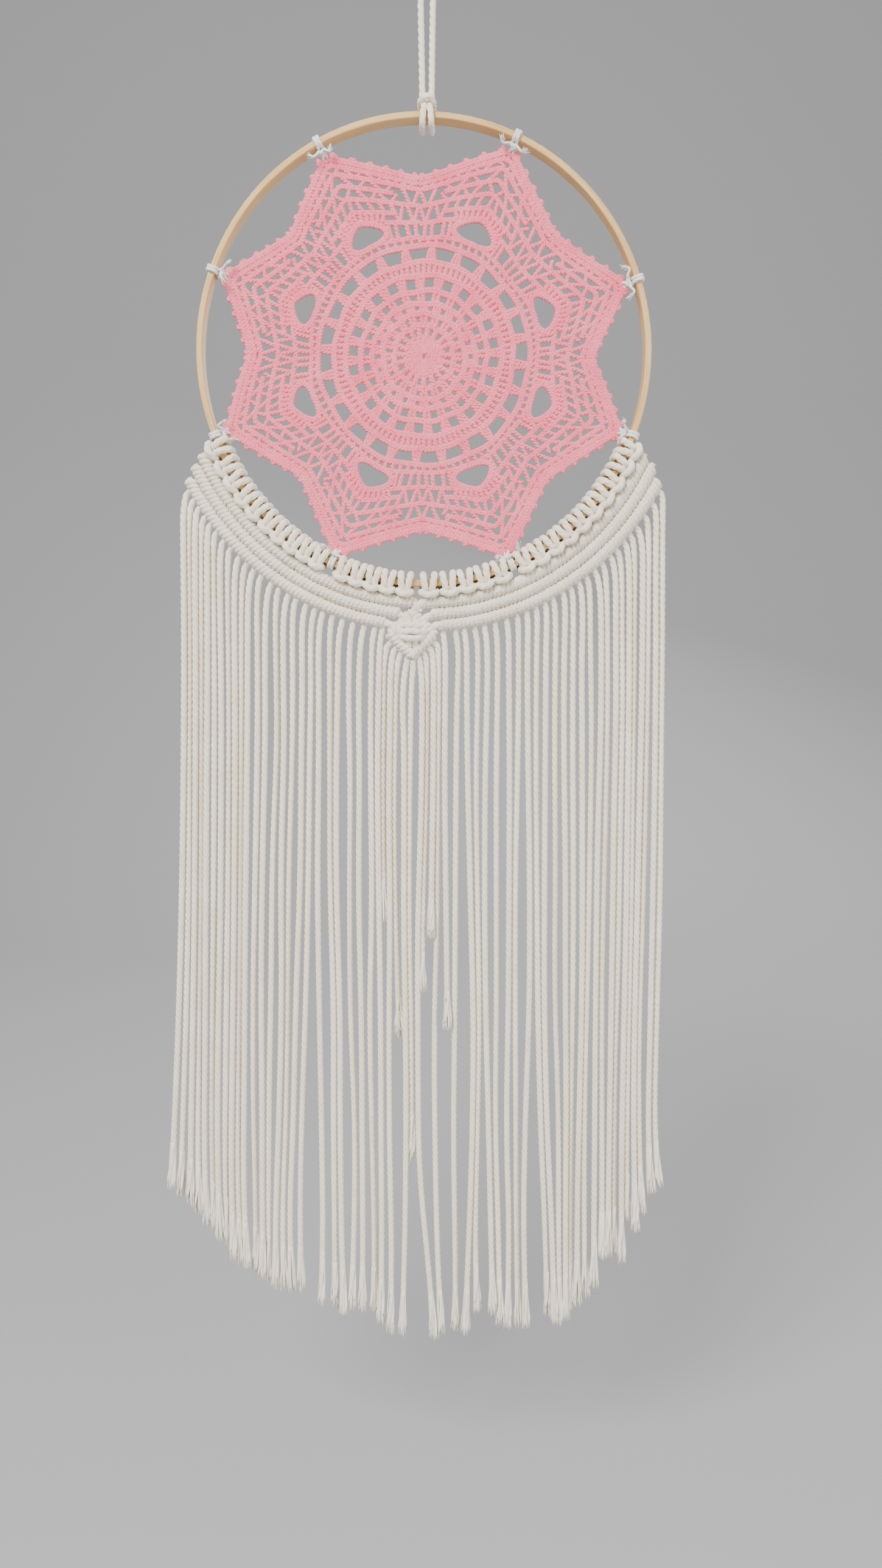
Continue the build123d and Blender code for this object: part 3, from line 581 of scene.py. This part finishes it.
for side, rows in (("left", LEFT_ROWS), ("right", RIGHT_ROWS)):
    for number, (start, end) in enumerate(rows, 1):
        row = Bundle()
        line = arc(ROW_RADII[number - 1], start, end)
        forward = np.array((0, ROW_FORWARD[number - 1], 0))
        wraps(row, line + forward, 0.00160, 0.00142, 0.00200, 0.55)
        row.strand(arc(ROW_RADII[number - 1], start - 0.8, end + 0.8), 0.0014, 12, plies=3, pitch=CORD_PITCH)
        obj = row.make(f"row_{side}_{number}_hitches", cotton, "ring")
        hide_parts(f"hitch_row_{side}_{number}", f"holding_cord_{side}_{number}")

# ---------------------------------------------------------------- diamond
corners = [DIAMOND + np.array(v) * DIAMOND_HALF for v in ((-1, 0, 0), (0, 0, 1), (1, 0, 0), (0, 0, -1))]
diamond = Bundle()
for a, b in zip(corners, corners[1:] + corners[:1]):
    line = np.array([a + (b - a) * t for t in np.linspace(-0.03, 1.03, 12)])
    wraps(diamond, line + np.array((0, -0.0008, 0)), 0.00150, 0.00138, 0.0020, 0.5)
    diamond.strand(line, 0.0011, 10, plies=3, pitch=CORD_PITCH)
obj = diamond.make("diamond_hitches", cotton, "ring")
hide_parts("diamond_frame")

square = Bundle()
DK = DIAMOND + np.array((0.0, 0, 0.0013))


def knot_line(points):
    return smooth([DK + np.array(p) * MM for p in points], 0.0008)


for points in (
    # the crossing cords, laid in three soft turns over the middle pair
    ((-6.0, -0.6, 1.2), (-5.0, -2.6, 2.4), (-2.4, -4.6, 3.0),
     (0.6, -4.9, 2.9), (3.4, -4.0, 2.5), (5.2, -1.8, 1.6), (5.0, 0.8, 0.2)),
    ((-5.2, 0.4, 0.2), (-5.2, -2.4, -0.4), (-2.8, -4.8, 0.1),
     (0.2, -5.2, 0.3), (3.0, -4.6, -0.2), (5.3, -2.4, -0.4), (5.6, 0.2, 0.8)),
    ((-5.4, 0.4, 0.2), (-5.6, -1.8, -1.6), (-3.2, -4.2, -2.7),
     (0.0, -4.8, -3.0), (2.8, -4.2, -2.8), (5.2, -2.0, -1.9), (5.6, 0.2, -0.8)),
    ((-5.4, -1.4, -2.2), (-5.9, -2.8, 0.0), (-5.2, -2.6, 2.2), (-4.0, -1.0, 3.2)),
    ((5.4, -1.4, -2.2), (5.9, -2.8, 0.0), (5.2, -2.6, 2.2), (4.0, -1.0, 3.2)),
    # the middle pair
    ((-1.4, -1.4, 6.8), (-1.4, -2.2, 4.6), (-1.4, -2.0, 0), (-1.4, -2.4, -4.2), (-1.6, -1.2, -6.8)),
    ((1.4, -1.4, 6.8), (1.4, -2.2, 4.6), (1.4, -2.0, 0), (1.4, -2.4, -4.2), (1.6, -1.2, -6.8)),
    # the pairs that leave it for the lower bars
    ((-3.6, -1.6, -1.6), (-4.2, -2.1, -3.4), (-5.2, -1.0, -5.2)),
    ((3.6, -1.6, -1.6), (4.2, -2.1, -3.4), (5.2, -1.0, -5.2)),
):
    line = knot_line(points)
    square.strand(line, CORD_R * 1.18, 12, plies=3, depth=0.22, pitch=CORD_PITCH, first=(0, 0.3, 1))
obj = square.make("diamond_square_knot", cotton, "ring")
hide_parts("diamond_centre_knot")

joins = Bundle()
for points in (
    ((-9.0, -1.0, -106.6), (-5.6, -1.6, -107.4), (-3.2, -1.6, -108.6), (-1.2, -1.0, -110.6)),
    ((-6.0, -1.2, -105.0), (-4.6, -2.2, -106.8), (-4.4, -2.2, -109.0), (-5.4, -1.2, -111.4)),
    ((3.0, -1.2, -105.6), (0.2, -2.2, -106.6), (-2.2, -2.0, -108.0), (-3.6, -1.0, -110.2)),
    ((-14.0, -1.0, -111.4), (-11.4, -1.8, -112.4), (-9.8, -1.6, -113.6), (-8.6, -0.8, -115.2)),
    ((-19.4, -1.0, -116.0), (-16.8, -1.8, -116.6), (-14.6, -1.4, -117.4), (-12.8, -0.6, -118.6)),
    ((4.6, -1.0, -112.6), (2.2, -1.8, -113.2), (0.2, -1.6, -114.4), (-0.8, -0.8, -116.2)),
    ((9.4, -1.0, -116.8), (6.8, -1.8, -117.0), (4.4, -1.4, -117.8), (2.4, -0.6, -119.2)),
):
    line = smooth([CENTRE + np.array(p) * MM for p in points], 0.0008)
    joins.strand(line, CORD_R * 1.35, 12, plies=3, depth=0.22, pitch=CORD_PITCH)
joins.make("row_to_diamond_cords", cotton, "ring")

# ---------------------------------------------------------------- crocheted web
TIPS = sorted(TIE_ANGLES)
TIP_RADIUS = 93.2
VALLEYS = {
    -132.0: 76.0, -90.7: 76.5, -47.5: 75.0, -0.7: 74.0, 46.8: 75.0, 89.5: 73.5, 132.5: 76.0, 181.7: 74.0,
}
STAR = sorted([(a % 360, TIP_RADIUS) for a in TIPS] + [(a % 360, r) for a, r in VALLEYS.items()])


def star_radius(angle):
    """The web's outer edge: straight from each tip to the valleys beside it."""
    angle %= 360
    ring = STAR + [(STAR[0][0] + 360, STAR[0][1])]
    if angle < ring[0][0]:
        angle += 360
    for (a, ra), (b, rb) in zip(ring, ring[1:]):
        if a <= angle <= b:
            pa = np.array((ra * math.sin(math.radians(a)), -ra * math.cos(math.radians(a))))
            pb = np.array((rb * math.sin(math.radians(b)), -rb * math.cos(math.radians(b))))
            d = np.array((math.sin(math.radians(angle)), -math.cos(math.radians(angle))))
            m = np.array(((d[0], pa[0] - pb[0]), (d[1], pa[1] - pb[1])))
            return float(np.linalg.solve(m, pa)[0])
    return 74.0


BASE = 47.0
EDGE = [star_radius(a) for a in range(361)]


def web_point(level, angle, y=0.0):
    """A place on the web. Levels up to BASE are radii; the rest run to the star's edge at BASE + 1."""
    if level <= BASE:
        r = level
    else:
        a = angle % 360
        i = int(a)
        edge = EDGE[i] + (EDGE[i + 1] - EDGE[i]) * (a - i)
        r = BASE + (level - BASE) * (edge - BASE)
    turn = math.radians(angle)
    wob = 0.35 * math.sin(angle * 0.11 + level) + 0.25 * math.sin(angle * 0.23 + 2 * level)
    return CENTRE + np.array(((r + wob) * math.sin(turn), y, -(r + wob) * math.cos(turn))) * MM


web = Bundle()


def chain(line, size=1.0):
    """A crocheted chain: three yarns plaited flat."""
    line = resample(line, 0.00055)
    points, _, normals, across = frames(line, (0, 1, 0))
    along = lengths(points)
    for k in range(3):
        beat = 2 * np.pi * along / 0.0044 + 2 * np.pi * k / 3
        sideways = (0.00074 * size * np.sin(beat))[:, None] * across
        path = points + sideways + (0.00044 * size * np.sin(2 * beat))[:, None] * normals
        web.strand(path, 0.00074 * size, 7, first=(0, 1, 0))


def post(a, b, size=1.0, bow=0.0):
    """A stitch's upright: two yarns wound round each other."""
    a, b = np.asarray(a), np.asarray(b)
    t = np.linspace(0, 1, max(5, int(np.linalg.norm(b - a) / 0.0006)))[:, None]
    side = np.cross(b - a, (0, 1, 0))
    line = a + (b - a) * t + side * bow * np.sin(np.pi * t)
    points, _, normals, across = frames(line, (0, 1, 0))
    beat = 2 * np.pi * lengths(points) / 0.0034 + rng.uniform(0, 6)
    for k in (0, np.pi):
        sideways = (0.00050 * size * np.cos(beat + k))[:, None] * across
        path = points + sideways + (0.00040 * size * np.sin(beat + k))[:, None] * normals
        web.strand(path, 0.00066 * size, 7, first=(0, 1, 0))


def circle(level):
    return np.array([web_point(level, a) for a in np.arange(0.0, 361.0, 1.5)])


def spokes(low, high, count, size, shift=0.0, jitter=0.25):
    for i in range(count):
        a = shift + 360 * i / count + rng.uniform(-jitter, jitter) * 60 / max(low, 8)
        post(web_point(low, a), web_point(high, a + rng.uniform(-jitter, jitter) * 40 / high), size)


# the middle: a tight disc, then rounds of stitches and holes
chain(circle(1.9), 0.9)
spokes(1.8, 8.0, 24, 1.15)
spokes(3.6, 8.0, 24, 1.1, 7.5)
chain(circle(8.0), 1.0)
spokes(8.0, 13.2, 19, 1.35)
chain(circle(13.2), 1.1)
for i in range(20):
    a = 18 * i
    for d in (-3.6, 3.2):
        post(web_point(13.2, a + d * 0.9), web_point(18.2, a + d), 1.1)
chain(circle(18.2), 1.15)
for i in range(22):
    a = 360 * i / 22
    for d in (-3.4, 0, 3.4):
        post(web_point(18.2, a + d), web_point(22.6, a + d * 1.05), 1.05)
chain(circle(22.6), 1.1)
for i in range(24):
    a = 15 * i + 3
    for d in (-2.2, 1.8):
        post(web_point(22.6, a + d), web_point(27.8, a + d * 1.15), 1.05)
chain(circle(27.8), 1.1)
for i in range(24):
    a = 15 * i + 3
    for d in (-2.6, 0, 2.6):
        post(web_point(27.8, a + d * 0.55), web_point(34.6, a + d * 1.15), 1.0)
chain(circle(34.4), 1.15)
spokes(34.4, 39.6, 96, 1.15, 0.0, 0.1)
chain(circle(39.6), 1.1)
for i in range(24):
    a = 15 * i + 10.5
    for d, e in ((-2.6, -0.7), (0, 0), (2.6, 0.7)):
        post(web_point(39.6, a + d), web_point(47.0, a + e), 0.95)
chain(circle(46.8), 1.05)

# the star: rounds that follow its edge, an eye and a fan towards each tip, and net between them
LEVELS = [BASE + s for s in (0.0, 0.10, 0.33, 0.45, 0.59, 0.72, 0.84, 0.93, 1.0)]
sectors = []
for i, tip in enumerate(TIPS):
    before = TIPS[i - 1] - (360 if i == 0 else 0)
    after = TIPS[(i + 1) % 8] + (360 if i == 7 else 0)
    sectors.append((tip, (tip - before) / 2, (after - tip) / 2))


def across_sector(tip, low, high, share):
    """The angle at a share from -1 to 1 of the way across one point of the star."""
    return tip + share * (high if share > 0 else low)


for tip, low, high in sectors:
    def where(level, share, y=0.0):
        return web_point(level, across_sector(tip, low, high, share), y)

    # which shares of the sector each round's chain covers
    covers = (None, (-1, 1), (-1, 1), (-0.62, 0.62), (-1, 1), (-0.64, 0.64), (-1, 1), (-1, 1), (-1, 1))
    for level, cover in zip(LEVELS, covers):
        if cover:
            shares = np.linspace(cover[0], cover[1], 26)
            chain(np.array([where(level, s) for s in shares]), 1.15 if level > BASE + 0.95 else 0.9)
    # stitches beside the eye
    for s in np.linspace(-1, 1, 13)[:-1]:
        post(where(LEVELS[0], s), where(LEVELS[1], s + 0.02), 1.0)
    for s in (-0.94, -0.80, -0.58, -0.46, 0.46, 0.58, 0.78, 0.92):
        post(where(LEVELS[1], s), where(LEVELS[2], s * 0.98 + rng.uniform(-0.03, 0.03)), 1.05)
    # the thick rim of the eye and its fan
    turns = np.linspace(0, 2 * math.pi, 40)
    rim = [where(BASE + 0.215 + 0.125 * math.sin(t), 0.40 * math.cos(t)) for t in turns]
    chain(np.array(rim), 1.1)
    for s in np.linspace(-0.44, 0.44, 11):
        post(where(LEVELS[2], s * 0.85), where(LEVELS[3], s), 1.15)
    for s in (-0.90, -0.66, 0.66, 0.90):
        for lean in (-0.09, 0.09):
            post(where(LEVELS[2], s), where(LEVELS[4], s + lean), 0.95)
    for s in np.linspace(-0.6, 0.6, 9):
        post(where(LEVELS[3], s), where(LEVELS[4], s + (0.04 if s < 0 else -0.04)), 1.0)
    # net towards the tip: upright Vs, each round's feet under the last round's gaps
    for k, n in ((4, 7), (5, 6), (6, 9), (7, 13)):
        half = 0.86 / (n - 1)
        for s in np.linspace(-0.86, 0.86, n):
            outer = abs(s) > 0.64
            if k == 5 and outer:
                continue
            top = LEVELS[k + 2] if k == 4 and outer else LEVELS[k + 1]
            s += rng.uniform(-0.02, 0.02)
            for lean in (-half, half):
                foot, head = where(LEVELS[k], s + lean * 0.15), where(top, s + lean * 0.85)
                post(foot, head, 0.95, bow=rng.uniform(-0.05, 0.05))
    # picots along the edge
    for s in np.linspace(-0.95, 0.95, 12):
        a = where(LEVELS[8], s - 0.03)
        b = where(LEVELS[8] + 0.055, s, -0.0003)
        c = where(LEVELS[8], s + 0.03)
        chain(smooth([a, b, c], 0.0005), 0.95)

web_obj = web.make("crochet_web_yarn", pink, "ring")
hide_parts("crochet_web")

# ---------------------------------------------------------------- ties
for number, angle in enumerate(TIE_ANGLES, 1):
    tie = Bundle()
    for offset in (-0.0009, 0.0009):
        turn = np.linspace(0, 2 * np.pi, 40)
        path = []
        for t in turn:
            # a rounded rectangle round the ring's section
            c, s = math.cos(t), math.sin(t)
            k = (abs(c) ** 4 + abs(s) ** 4) ** 0.25
            radius, y = HOOP_MID + (1.4 + 0.75) * MM * c / k, (4.0 + 0.75) * MM * s / k
            path.append(at(radius, angle, y, offset * (1 + 0.3 * s)))
        tie.strand(np.array(path), 0.0009, 8, plies=2, depth=0.2, pitch=0.004, first=(0.2, 0.1, 0.9))
    knot_at = [
        (-1.6, 95.6, -2.2), (0.2, 94.2, -3.2), (1.7, 95.0, -2.0), (0.9, 96.4, -0.6), (-1.0, 95.8, -1.0),
        (-1.3, 94.2, -2.8), (0.6, 93.2, -1.6), (0.8, 91.6, 0.4), (-0.6, 90.6, 0.9), (-0.9, 92.8, -0.6),
        (0.2, 94.8, -1.2),
    ]
    line = smooth([at(r * MM, angle, y * MM, t * MM) for t, r, y in knot_at], 0.0006)
    tie.strand(line, 0.00085, 8, plies=2, pitch=0.004)
    for side in (-1, 1):
        lean = rng.uniform(0.6, 1.6) * side
        ends = [
            at(95.2 * MM, angle, -0.0024, 0.3 * side * MM),
            at(94.4 * MM, angle, -0.0040, lean * 1.6 * MM),
            at((93.0 + rng.uniform(-1, 3)) * MM, angle, -0.0052, lean * 3.4 * MM),
            at((92.6 + rng.uniform(-2, 4)) * MM, angle, -0.0050, lean * 4.6 * MM),
        ]
        line = smooth(ends, 0.0006)
        tie.strand(line, np.linspace(0.00075, 0.0005, len(line)), 7, plies=2, pitch=0.004)
        for _ in range(14):
            shift = np.array([rng.gauss(0, 0.0007) for _ in range(3)])
            part = line[len(line) // 2:] + np.linspace(0, 1, len(line) - len(line) // 2)[:, None] * shift
            tie.strand(part, 0.00014, 3)
    obj = tie.make(f"tie_{number}_thread", thread, "ring")
    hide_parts(f"web_tie_{number}")

# ---------------------------------------------------------------- ring
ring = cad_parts["hoop"]
ring.data.materials.clear()
ring.data.materials.append(bamboo())


# ---------------------------------------------------------------- studio
pale = plain("pale_stage", (0.40, 0.40, 0.41))
FLOOR = -0.74
sweep = [(-4.0, FLOOR), (1.0, FLOOR)]
bend = np.linspace(0.1, math.pi / 2, 14)
sweep += [(1.0 + 0.9 * math.sin(a), FLOOR + 0.9 - 0.9 * math.cos(a)) for a in bend]
sweep += [(1.9, 4.0)]
mesh = bpy.data.meshes.new("backdrop")
sweep_points = [(x, y, z) for y, z in sweep for x in (-5, 5)]
panels = [(2 * i, 2 * i + 1, 2 * i + 3, 2 * i + 2) for i in range(len(sweep) - 1)]
mesh.from_pydata(sweep_points, [], panels)
mesh.polygons.foreach_set("use_smooth", [True] * len(mesh.polygons))
mesh.materials.append(pale)
backdrop = bpy.data.objects.new("backdrop", mesh)
bpy.context.scene.collection.objects.link(backdrop)
backdrop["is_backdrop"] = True


def area(name, place, aim, size, power, colour=(1, 1, 1)):
    light = bpy.data.lights.new(name, "AREA")
    light.size = size
    light.energy = power
    light.color = colour
    obj = bpy.data.objects.new(name, light)
    obj.location = place
    obj.rotation_euler = (Vector(aim) - Vector(place)).to_track_quat("-Z", "Y").to_euler()
    bpy.context.scene.collection.objects.link(obj)


area("key", (-0.7, -1.2, 0.75), (0, 0, -0.3), 0.7, 46, (1.0, 0.98, 0.95))
area("fill", (1.1, -1.0, -0.1), (0, 0, -0.35), 1.1, 15, (0.96, 0.98, 1.0))
area("back", (0.5, 1.3, 0.5), (0, 0, -0.3), 1.0, 14)
world = bpy.data.worlds.new("studio")
world.use_nodes = True
world.node_tree.nodes["Background"].inputs["Color"].default_value = (0.9, 0.89, 0.88, 1)
world.node_tree.nodes["Background"].inputs["Strength"].default_value = 0.75
bpy.context.scene.world = world

camera = bpy.data.cameras.new("camera")
camera.sensor_fit = "VERTICAL"
camera.sensor_height = 36.0
camera.lens = 26.0
camera.clip_start = 0.01
cam = bpy.data.objects.new("camera", camera)
cam.location = (0.00602, -0.52208, -0.28182)
cam.rotation_euler = (math.radians(90 - 8.036), 0, 0)
bpy.context.scene.collection.objects.link(cam)
bpy.context.scene.camera = cam

low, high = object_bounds()
